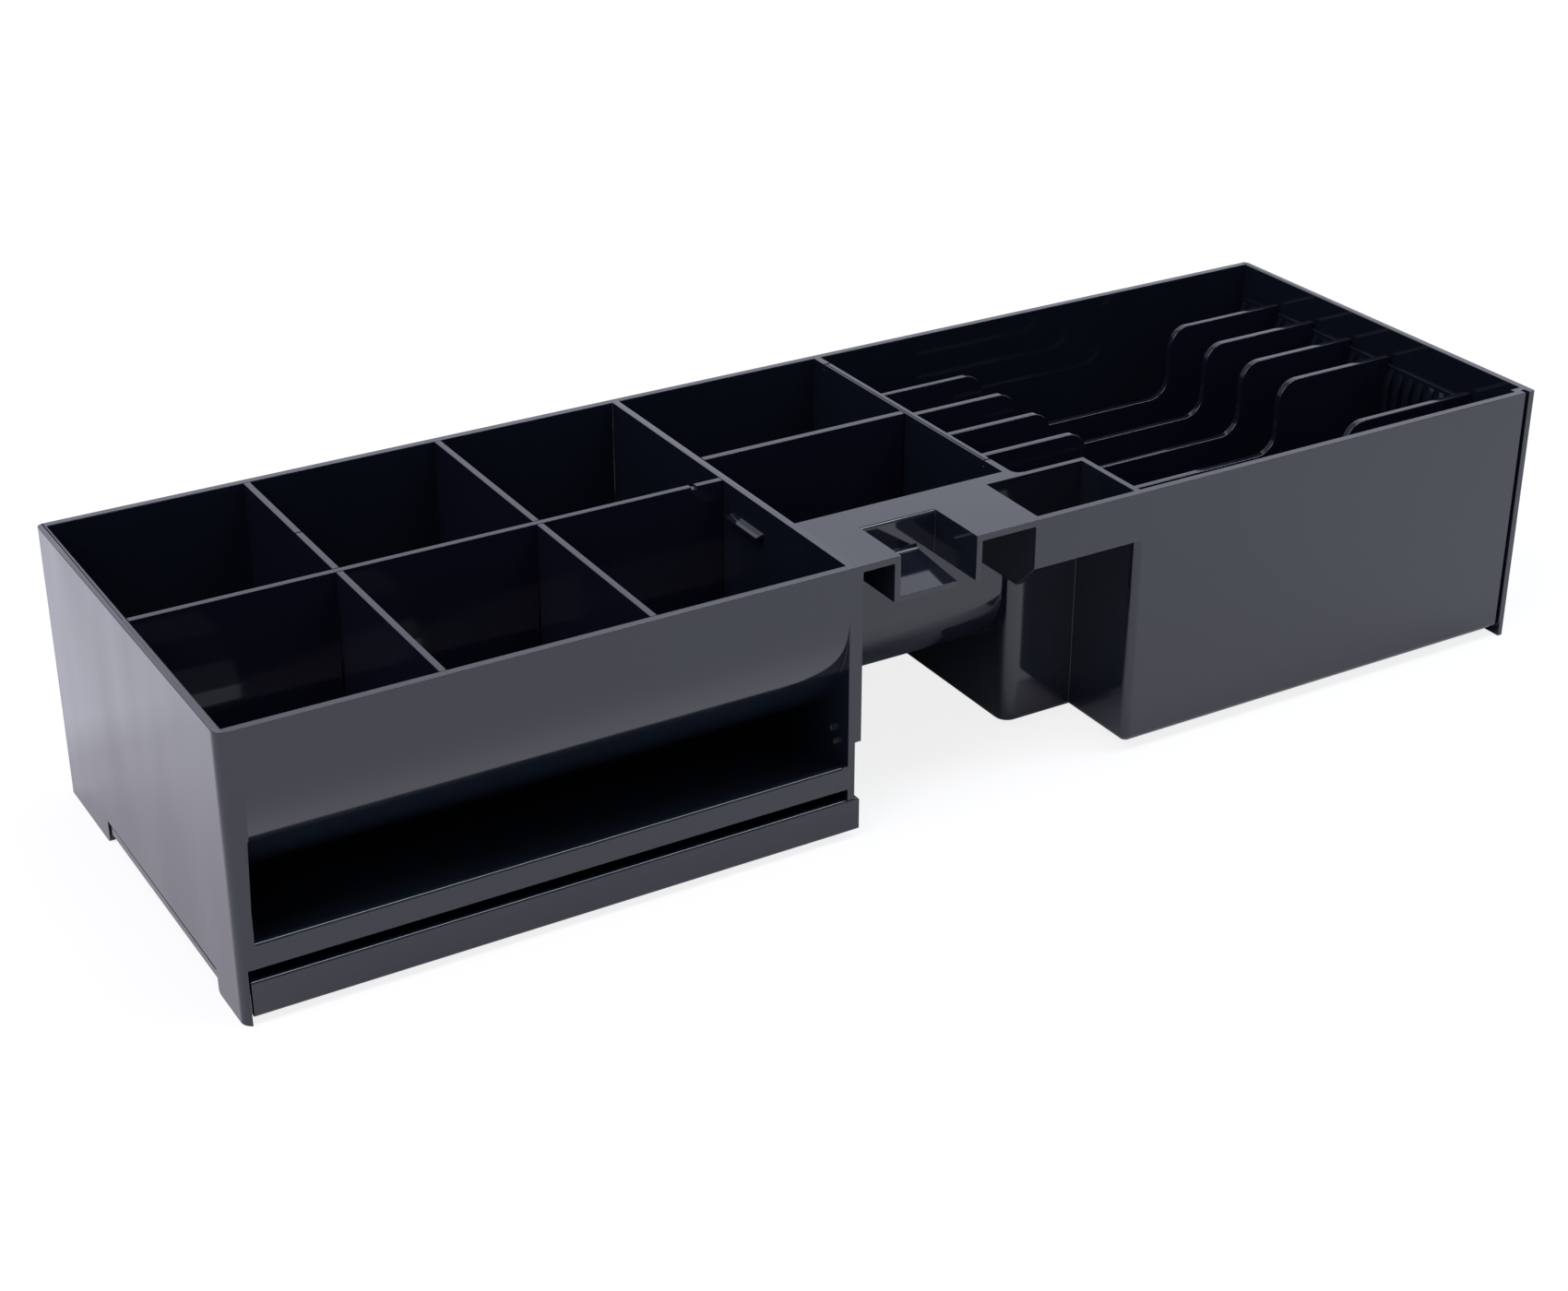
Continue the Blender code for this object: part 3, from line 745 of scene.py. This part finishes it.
    def lock_section(self, body: Piece) -> None:
        """Adds the cup behind the lock recess, the deck, the latch pocket and the small pocket.

        Args:
            body: The moulding.
        """
        wall, half, height = self.wall, self.wall / 2, self.height
        front = -self.half_depth
        left = self.coin_end + half
        right = self.partition + half
        behind = self.lock_front + half
        top = height - half
        low = (left, self.lock_front, self.lock_floor - wall)
        high = (right, self.half_depth - half, height)
        cup = scooped("lock_cup", low, high, self.lock_scoop, steps=40)
        combine(body, cup, Join.ADD)
        self.add(body, (left, front, height - wall), (self.pocket_left + half, behind, height))
        floor = height - self.pocket_drop
        near_x = self.step_x - wall
        for low_x, high_x, slope in (
            (self.pocket_left, self.pocket_left + wall, 0.0),
            (self.pocket_left + half, near_x, self.pocket_slope),
        ):
            high = (high_x, self.step_y, height)
            pocket = self.pocket_form((low_x, front, floor), high, self.pocket_chamfer, slope)
            combine(body, pocket, Join.ADD)
        past_corner = near_x + self.step_corner + self.overlap
        flush_low, flush_back = floor + self.pocket_chamfer, front + self.rim + wall * self.mitre
        low_x, high_x, back = self.notch
        rib_left, rib_back = self.lock_start - half, front + self.lock_rib_depth
        for low, high in (
            ((near_x - wall, front, flush_low), (past_corner, flush_back, height)),
            ((self.pocket_left, self.step_y - half, floor), (right, behind, height)),
            ((low_x - wall, front, self.latch_floor), (high_x + wall, back + wall, top)),
            ((rib_left, front, self.lock_rib_low), (self.lock_start + wall, rib_back, top)),
        ):
            self.add(body, low, high)

    def note_section(self, body: Piece) -> None:
        """Adds the stepped outer form of the note bay, with its rounded lower edges and corners.

        Args:
            body: The moulding.
        """
        right = self.half_length - self.inset
        step_front = self.step_y - self.wall
        rear = self.half_depth - self.wall / 2
        near_x = self.step_x - self.wall
        for left, front, back, corner, steps in (
            (self.partition, step_front, rear, self.bay_corner, 14),
            (near_x, -self.half_depth, 0.0, self.step_corner, 12),
        ):
            form = block("bay", (left, front, self.skirt), (right, back, self.height))
            round_edges(form, corner, edges_at(Axis.Z, (left, front, None)), steps=steps)
            hidden = ((right, None, None), (None, back, None))
            round_edges(
                form,
                self.bottom_radius,
                lambda at, way: near(at.z, self.skirt) and not any(is_at(at, h) for h in hidden),
                steps=8,
            )
            combine(body, form, Join.ADD)

    def hollow(self, body: Piece) -> None:
        """Cuts out the cups, the small pocket and the note bay with the step in its front wall.

        Args:
            body: The moulding.
        """
        above = self.height + BEYOND
        front, back = self.rim - self.half_depth, self.half_depth - self.rim
        left, right = self.rim - self.half_length, self.half_length - self.rim
        lock_low = (self.lock_start, self.lock_front + self.wall, self.lock_floor)
        for low, end, scoop, steps in (
            ((left, front, self.cup_floor), self.coin_end, self.scoop, 48),
            (lock_low, self.partition, self.lock_scoop, 40),
        ):
            space = scooped("cup_space", low, (end, back, above), scoop - self.wall, steps)
            combine(body, space, Join.CUT)
        bay_left = self.partition + self.rim
        bay_floor = self.skirt + self.wall
        bay = block("bay", (bay_left, self.step_y, bay_floor), (right, back, above))
        at_corner = edges_at(Axis.Z, (bay_left, self.step_y, None))
        round_edges(bay, self.bay_inner_corner, at_corner, steps=8)
        combine(body, bay, Join.CUT)
        near_bay = block("near_bay", (self.step_x, front, bay_floor), (right, 0.0, above))
        low = (self.panel_end - self.rim, front - self.rim, -BEYOND)
        self.cut(near_bay, low, (right + self.rim, front + self.wall, above + BEYOND))
        combine(body, near_bay, Join.CUT)
        floor = self.height - self.pocket_drop + self.wall
        low = (self.pocket_left + self.wall, front, floor)
        high = (self.step_x - self.wall, self.step_y - self.wall, above)
        chamfer = self.pocket_chamfer - self.wall * self.mitre
        combine(body, self.pocket_form(low, high, chamfer, self.pocket_slope), Join.CUT)

    def open_front(self, body: Piece) -> None:
        """Cuts the latch notch, the space beside the front panel's end and room for the lip.

        Args:
            body: The moulding.
        """
        above = self.height + BEYOND
        outside = -self.half_depth - BEYOND
        front = -self.half_depth + self.rim
        left, right, back = self.notch
        low = self.latch_floor + self.latch_thickness
        recess = block("latch_recess", (left, outside, low), (right, back, above))
        for y in (outside, back):
            rise = self.latch_rise * (y + self.half_depth)
            move_corners(recess, (None, y, low), (0.0, 0.0, rise))
        at_back = edges_at(Axis.X, (None, back, low + rise))
        round_edges(recess, self.latch_fillet, at_back, steps=12)
        combine(body, recess, Join.CUT)
        half = self.wall / 2
        self.cut(body, (self.latch_end, outside, self.latch_floor - half), (right, back, above))
        inner_right = self.half_length - self.rim
        self.cut(body, (self.panel_end, outside, -BEYOND), (inner_right, front, above))
        lip_end = (self.lock_start + half, front + self.lip_space, self.lip_space_top)
        self.cut(body, (self.coin_end - half, outside, -BEYOND), lip_end)

    def round_front_corner(self, body: Piece) -> None:
        """Rounds the upright corner where the coin end meets the front, through both walls.

        Args:
            body: The moulding.
        """
        radius = self.front_corner
        left, front, top = -self.half_length, -self.half_depth, self.height + BEYOND
        outside = (left - BEYOND, front - BEYOND, -BEYOND)
        away = block("corner_away", outside, (left + radius, front + radius, top))
        kept = block("corner_kept", (left, front, -BEYOND * 2), (0.0, 0.0, top + BEYOND))
        round_edges(kept, radius, edges_at(Axis.Z, (left, front, None)), steps=12)
        combine(away, kept, Join.CUT)
        combine(body, away, Join.CUT)

    def small_details(self, body: Piece) -> None:
        """Adds the ledge in the third front cup and the two catches in the storage space.

        Args:
            body: The moulding.
        """
        inside = self.coin_end + self.overlap
        ledge_left = self.coin_end - self.ledge_reach
        low_y, high_y = self.ledge_length
        low_z, high_z = self.ledge_height
        ledge = block("ledge", (ledge_left, low_y, low_z), (inside, high_y, high_z))
        move_corners(ledge, (ledge_left, None, high_z), (0.0, 0.0, -self.ledge_tilt))
        combine(body, ledge, Join.ADD)
        catch_left = self.coin_end - self.catch_reach
        for (low_y, high_y), (low_z, high_z) in self.catches:
            self.add(body, (catch_left, low_y, low_z), (inside, high_y, high_z))

    def cut_seams(self, body: Piece) -> None:
        """Cuts the fine joint lines across and along the partition's top edge.

        Args:
            body: The moulding.
        """
        above = self.height + BEYOND
        left = self.partition - self.seam_reach
        right = self.partition + self.rim + self.seam_reach
        under = self.height - self.seam_depth
        for y in self.seams_at:
            self.cut(body, (left, y - self.seam / 2, under), (right, y + self.seam / 2, above))
        back, front = self.seams_at
        start, end = self.seam_line
        low = (self.partition + start, front, self.height - self.seam_line_depth)
        self.cut(body, low, (self.partition + end, back, above))

    def round_lit_edge(self, body: Piece, span: Span, front: float, top: float) -> None:
        """Rounds an upper front edge that catches a bright line a little more than the rest.

        Args:
            body: The moulding.
            span: Where the rounding starts and ends along X.
            front: Where the front face is.
            top: Where the upper face is.
        """
        low_x, high_x = span
        radius = self.lit_edge
        low = (low_x, front - BEYOND, top - radius)
        away = block("edge_away", low, (high_x, front + radius, top + BEYOND))
        low = (low_x - BEYOND, front, top - TOOL_DEPTH)
        kept = block("edge_kept", low, (high_x + BEYOND, front + TOOL_DEPTH, top))
        round_edges(kept, radius, edges_at(Axis.X, (None, front, top)), steps=5)
        combine(away, kept, Join.CUT)
        combine(body, away, Join.CUT)

    def build(self, material: Material) -> None:
        """Builds the whole moulding and dresses it.

        Args:
            material: The moulded plastic.
        """
        body = self.end_wall(End.COIN)
        combine(body, self.end_wall(End.NOTE), Join.ADD)
        low = (-self.half_length + self.inset, self.half_depth - self.wall, self.skirt)
        self.add(body, low, (self.half_length - self.inset, self.half_depth, self.height))
        self.coin_section(body)
        self.lock_section(body)
        self.note_section(body)
        self.hollow(body)
        self.open_front(body)
        self.round_front_corner(body)
        self.small_details(body)
        self.cut_seams(body)
        bar = (self.post_right + self.post_clear, self.coin_end - self.wall)
        self.round_lit_edge(body, bar, -self.half_depth, self.shelf_lip)
        self.round_lit_edge(body, self.notch[:2], self.notch[2], self.height)
        soften(body, self.edge)
        body.name = "main_moulding"
        self.dress(body, material, "insert", "body", *self.nodes)


@dataclass
class CoinDividers(SubAssembly):
    """The thin plates that part the coin cups, lapped half and half where they cross."""

    thickness: float = 0.0020
    columns: Span = (-0.15785, -0.0967)
    row_middle: float = 0.0002
    front: float = -0.0689
    back: float = 0.0689
    floor: float = 0.0313
    top: float = 0.087
    scoop: float = 0.0407
    lap: float = 0.0590
    play: float = 0.0013
    left: float = -0.2174
    right: float = -0.0368
    lock_half: float = 0.00115
    edge: float = 0.00012
    # Joint in the first column divider, nick and fine line in the row divider
    jointed: int = 1
    joint: Span = (0.0284, 0.0289)
    joint_depth: float = 0.0014
    nick: Span = (-0.0472, -0.0455)
    nick_depth: float = 0.0008
    line: Span = (-0.0464, -0.0374)
    line_height: Span = (0.0804, 0.0807)
    line_depth: float = 0.00025

    def column(self, number: int, x: float) -> Piece:
        """Makes one divider between two columns of cups.

        Args:
            number: Its number, from the left.
            x: The middle of its thickness.

        Returns:
            The divider.
        """
        half = self.thickness / 2
        left, right = x - BEYOND, x + BEYOND
        above = self.top + BEYOND
        low, high = (x - half, self.front, self.floor), (x + half, self.back, self.top)
        plate = scooped(f"column_divider_{number}", low, high, self.scoop, steps=40)
        middle, play = self.row_middle, self.play
        self.cut(plate, (left, middle - play, self.lap), (right, middle + play, above))
        if number == self.jointed:
            low_y, high_y = self.joint
            self.cut(plate, (left, low_y, self.top - self.joint_depth), (right, high_y, above))
        soften(plate, self.edge)
        return plate

    def row(self) -> Piece:
        """Makes the divider between the front and rear cups.

        Returns:
            The divider, notched from below for the column dividers.
        """
        half = self.thickness / 2
        face = self.row_middle - half
        high = (self.right, self.row_middle + half, self.top)
        plate = block("row_divider", (self.left, face, self.floor), high)
        for x in self.columns:
            self.cut(plate, (x - self.play, -BEYOND, -BEYOND), (x + self.play, BEYOND, self.lap))
        low_x, high_x = self.nick
        under = self.top - self.nick_depth
        self.cut(plate, (low_x, -BEYOND, under), (high_x, BEYOND, self.top + BEYOND))
        low_x, high_x = self.line
        low_z, high_z = self.line_height
        self.cut(plate, (low_x, face - BEYOND, low_z), (high_x, face + self.line_depth, high_z))
        soften(plate, self.edge)
        return plate

    def build(self, material: Material) -> None:
        """Builds the four dividers and dresses them.

        Args:
            material: The dividers' plastic.
        """
        for number, x in enumerate(self.columns, start=1):
            plate = self.column(number, x)
            self.dress(plate, material, "insert", "divider", f"coin_column_divider_{number}")
        self.dress(self.row(), material, "insert", "divider", "coin_row_divider")
        low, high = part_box("lock_row_divider")
        middle = (low[1] + high[1]) / 2
        front, back = middle - self.lock_half, middle + self.lock_half
        lock = block("lock_cup_divider", (low[0], front, low[2]), (high[0], back, high[2]))
        soften(lock, self.edge)
        self.dress(lock, material, "insert", "divider", "lock_row_divider")


@dataclass
class NoteDividers(SubAssembly):
    """The upright plates between the banknotes, dipped in the middle for the fingers."""

    count: int = 5
    short_one: int = 5
    dip: float = 0.0247
    shoulder_left: float = 0.0494
    shoulder_right: float = 0.0472
    shoulder_short: float = 0.0525
    bend: float = 0.0073
    spare: float = 0.0002
    rise: float = 0.0004
    edge: float = 0.0003

    def plate(self, number: int) -> Piece:
        """Makes one note divider in its CAD place.

        Args:
            number: Its number, counted from the back.

        Returns:
            The divider.
        """
        low, high = (Vector(corner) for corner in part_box(f"note_divider_{number}"))
        low.y -= self.spare
        high.y += self.spare
        high.z += self.rise
        piece = block(f"note_plate_{number}", tuple(low), tuple(high))
        floor = high.z - self.dip
        short = number == self.short_one
        right = high.x - (self.shoulder_short if short else self.shoulder_right)
        left = low.x - BEYOND if short else low.x + self.shoulder_left
        above = (right, high.y + BEYOND, high.z + BEYOND)
        dip = block("dip", (left, low.y - BEYOND, floor), above)
        round_edges(dip, self.bend, edges_at(Axis.Y, (None, None, floor)), steps=10)
        combine(piece, dip, Join.CUT)
        tests = [edges_at(Axis.Y, (x, None, high.z)) for x in (left, right)]
        round_edges(piece, self.bend, lambda at, way: any(t(at, way) for t in tests), steps=10)
        soften(piece, self.edge, 3)
        return piece

    def build(self, material: Material) -> None:
        """Builds the five dividers, each on its own body.

        Args:
            material: The dividers' plastic.
        """
        for number in range(1, self.count + 1):
            piece = self.plate(number)
            node = f"note_divider_{number}"
            self.dress(piece, material, f"divider_{number}", "divider", node)


@dataclass
class DividerCombs(SubAssembly):
    """Upright ribs on the bay's walls that hold the note dividers."""

    pitch: float = 0.0048
    slot: float = 0.0024
    base: float = 0.001
    sunk: float = 0.0003
    chamfer: float = 0.0027
    taper: float = 0.0045
    edge: float = 0.0002

    def strip(self, node: str, faces_left: bool) -> Piece:
        """Makes one strip of ribs in its CAD place.

        Args:
            node: The node that it stands for.
            faces_left: Whether its ribs point to -X.

        Returns:
            The strip.
        """
        low, high = (Vector(corner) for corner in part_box(node))
        foot, tip = (high.x, low.x) if faces_left else (low.x, high.x)
        inward = -1 if faces_left else 1
        root = foot + inward * self.base
        left, right = sorted((foot - inward * self.sunk, root))
        backing = block(node, (left, low.y, low.z), (right, high.y, high.z))
        soften(backing, self.edge)
        width = self.pitch - self.slot
        left, right = sorted((root - inward * self.base / 2, tip))
        first = block("rib", (left, low.y, low.z), (right, low.y + width, high.z))
        round_edges(first, self.chamfer, edges_at(Axis.Y, (tip, None, high.z)), steps=1)
        move_corners(first, (None, None, high.z - self.chamfer), (0.0, 0.0, -self.taper))
        soften(first, self.edge)
        pieces = [backing, first]
        for number in range(1, round((high.y - low.y - width) / self.pitch) + 1):
            choose(first)
            bpy.ops.object.duplicate()
            rib = bpy.context.object
            rib.location.y = self.pitch * number
            bpy.ops.object.transform_apply(location=True, rotation=False, scale=False)
            pieces.append(rib)
        return join_pieces(pieces, f"{node}_ribs")

    def build(self, material: Material) -> None:
        """Builds the three strips and dresses them.

        Args:
            material: The moulded plastic.
        """
        for node in ("divider_comb_right", "divider_comb_left", "divider_comb_step"):
            strip = self.strip(node, faces_left=node == "divider_comb_right")
            self.dress(strip, material, "insert", "body", node)


@dataclass
class SlipTray(SubAssembly):
    """The shallow slide-out tray with its front lip."""

    wall: float = 0.0015
    flange: float = 0.0026
    side_top: float = 0.0113
    side_right: float = -0.0368
    well_round: float = 0.001
    lip: float = 0.002
    lip_left: float = -0.2173
    lip_low: float = 0.0026
    lip_top: float = 0.0134
    lip_corner: float = 0.0012
    lip_round: float = 0.0009
    edge: float = 0.00025

    def build(self, material: Material) -> None:
        """Builds the tray and dresses it.

        Args:
            material: The tray's plastic.
        """
        low, high = (Vector(corner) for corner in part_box("slip_tray"))
        left = low.x + self.flange
        right = self.side_right - self.flange
        front, back = low.y, low.y + self.lip
        into_lip = front + self.lip / 2
        tray = block("tray_body", (left, into_lip, low.z), (right, high.y, self.side_top))
        under = self.side_top - self.wall
        self.add(tray, (low.x, into_lip, under), (self.side_right, high.y, self.side_top))
        well_floor = low.z + self.wall
        well_end = (right - self.wall, high.y - self.wall, self.side_top + BEYOND)
        well = block("well", (left + self.wall, back, well_floor), well_end)
        round_edges(well, self.well_round, lambda at, way: near(at.z, well_floor), steps=4)
        combine(tray, well, Join.CUT)
        lip = block("lip", (self.lip_left, front, self.lip_low), (high.x, back, self.lip_top))
        at_corner = edges_at(Axis.Y, (high.x, None, self.lip_top))
        round_edges(lip, self.lip_corner, at_corner, steps=6)
        for z, steps in ((self.lip_low, 5), (self.lip_top, 3)):
            round_edges(lip, self.lip_round, edges_at(Axis.X, (None, front, z)), steps=steps)
        combine(tray, lip, Join.ADD)
        soften(tray, self.edge)
        tray.name = "slide_out_tray"
        self.dress(tray, material, "slip_tray_body", "tray", "slip_tray")


@dataclass(frozen=True)
class Softbox:
    """A flat studio lamp, seen in reflections but not by the camera."""

    name: str
    place: Point
    target: Point
    size: Span
    radiance: float
    tint: str

    def make(self) -> None:
        """Hangs the lamp in the scene."""
        lamp = bpy.data.lights.new(self.name, "AREA")
        lamp.shape = "RECTANGLE"
        lamp.size, lamp.size_y = self.size
        lamp.energy = self.radiance * math.pi * self.size[0] * self.size[1]
        lamp.color = linear_colour(self.tint)[:3]
        holder = bpy.data.objects.new(self.name, lamp)
        bpy.context.scene.collection.objects.link(holder)
        holder.location = self.place
        aim = Vector(self.target) - Vector(self.place)
        holder.rotation_euler = aim.to_track_quat("-Z", "Y").to_euler()
        holder.visible_camera = False


@dataclass
class Studio:
    """White table, soft lamps and the camera of the photograph."""

    camera_place: Point = (-0.40078, -0.64378, 0.41250)
    azimuth: float = -30.925
    elevation: float = 27.241
    roll: float = 0.076
    lens: float = 62.85
    sensor: float = 36.0
    clip_start: float = 0.01
    table_radius: float = 0.95
    table_sides: int = 96
    room_strength: float = 0.50
    room_tint: str = "E3EEFF"
    lamps: tuple[Softbox, ...] = (
        Softbox("overhead_softbox", (0.1, 0.15, 1.6), (0.0, 0.0, 0.0), (0.9, 0.6), 2.2, "F2F7FF"),
        Softbox("edge_softbox", (0.75, -0.45, 1.6), (0.75, 0.0, 0.0), (1.4, 0.4), 10.0, "EEFAFF"),
        Softbox("key_softbox", (-1.2, -0.3, 1.5), (-0.2, 0.0, 0.0), (1.3, 1.3), 5.5, "FFF3FF"),
        Softbox("back_softbox", (1.15, 1.95, 1.05), (0.0, 0.0, 0.05), (3.6, 2.2), 0.85, "F0EDFF"),
    )

    def set_camera(self) -> None:
        """Puts the camera where the photograph was taken from."""
        turn, tilt, lean = map(math.radians, (self.azimuth, self.elevation, self.roll))
        flat = math.cos(tilt)
        back = Vector((math.sin(turn) * flat, -math.cos(turn) * flat, math.sin(tilt)))
        level = Vector((math.cos(turn), math.sin(turn), 0.0))
        upright = back.cross(level)
        right = level * math.cos(lean) + upright * math.sin(lean)
        up = upright * math.cos(lean) - level * math.sin(lean)
        lens = bpy.data.cameras.new("camera")
        lens.lens = self.lens
        lens.sensor_fit = "HORIZONTAL"
        lens.sensor_width = self.sensor
        lens.clip_start = self.clip_start
        holder = bpy.data.objects.new("camera", lens)
        bpy.context.scene.collection.objects.link(holder)
        turned = Matrix((right, up, back)).transposed().to_4x4()
        holder.matrix_world = Matrix.Translation(self.camera_place) @ turned
        bpy.context.scene.camera = holder

    def lay_table(self) -> None:
        """Adds the pale table top under the insert."""
        deselect_all()
        bpy.ops.mesh.primitive_circle_add(
            vertices=self.table_sides, radius=self.table_radius, fill_type="NGON"
        )
        table = bpy.context.object
        table.name = "table_top"
        table.data.materials.append(PaleTableTop().make())

    def set_room(self) -> None:
        """Makes a dim room round the table that the camera sees as white."""
        world = bpy.data.worlds.new("room")
        bpy.context.scene.world = world
        world.use_nodes = True
        tree = world.node_tree
        tree.nodes.clear()
        path = add_node(tree, "LightPath")
        tint = linear_colour(self.room_tint)
        dim = add_node(tree, "Background", {"Color": tint, "Strength": self.room_strength})
        white = add_node(tree, "Background", {"Color": linear_colour("FFFFFF"), "Strength": 1.0})
        both = {0: path.outputs["Is Camera Ray"], 1: dim.outputs[0], 2: white.outputs[0]}
        mixed = add_node(tree, "MixShader", both)
        add_node(tree, "OutputWorld", {"Surface": mixed.outputs[0]})

    def build(self) -> None:
        """Sets up table, room, lamps and camera."""
        self.lay_table()
        self.set_room()
        for lamp in self.lamps:
            lamp.make()
        self.set_camera()
        bpy.context.scene.view_settings.view_transform = "Standard"


def main() -> None:
    """Builds the insert's looks and its studio."""
    logging.basicConfig(level=logging.INFO, format="%(name)s %(message)s")
    body = MouldedPlastic("black_moulded_abs").make()
    divider = MouldedPlastic("black_moulded_divider", "0C0E18", "10121D").make()
    tray = MouldedPlastic("black_moulded_tray", "0E101A", "12141F", roughness=0.06).make()
    Studio().build()
    MainMoulding().build(body)
    CoinDividers().build(divider)
    NoteDividers().build(divider)
    DividerCombs().build(body)
    SlipTray().build(tray)


if __name__ == "__main__":
    main()
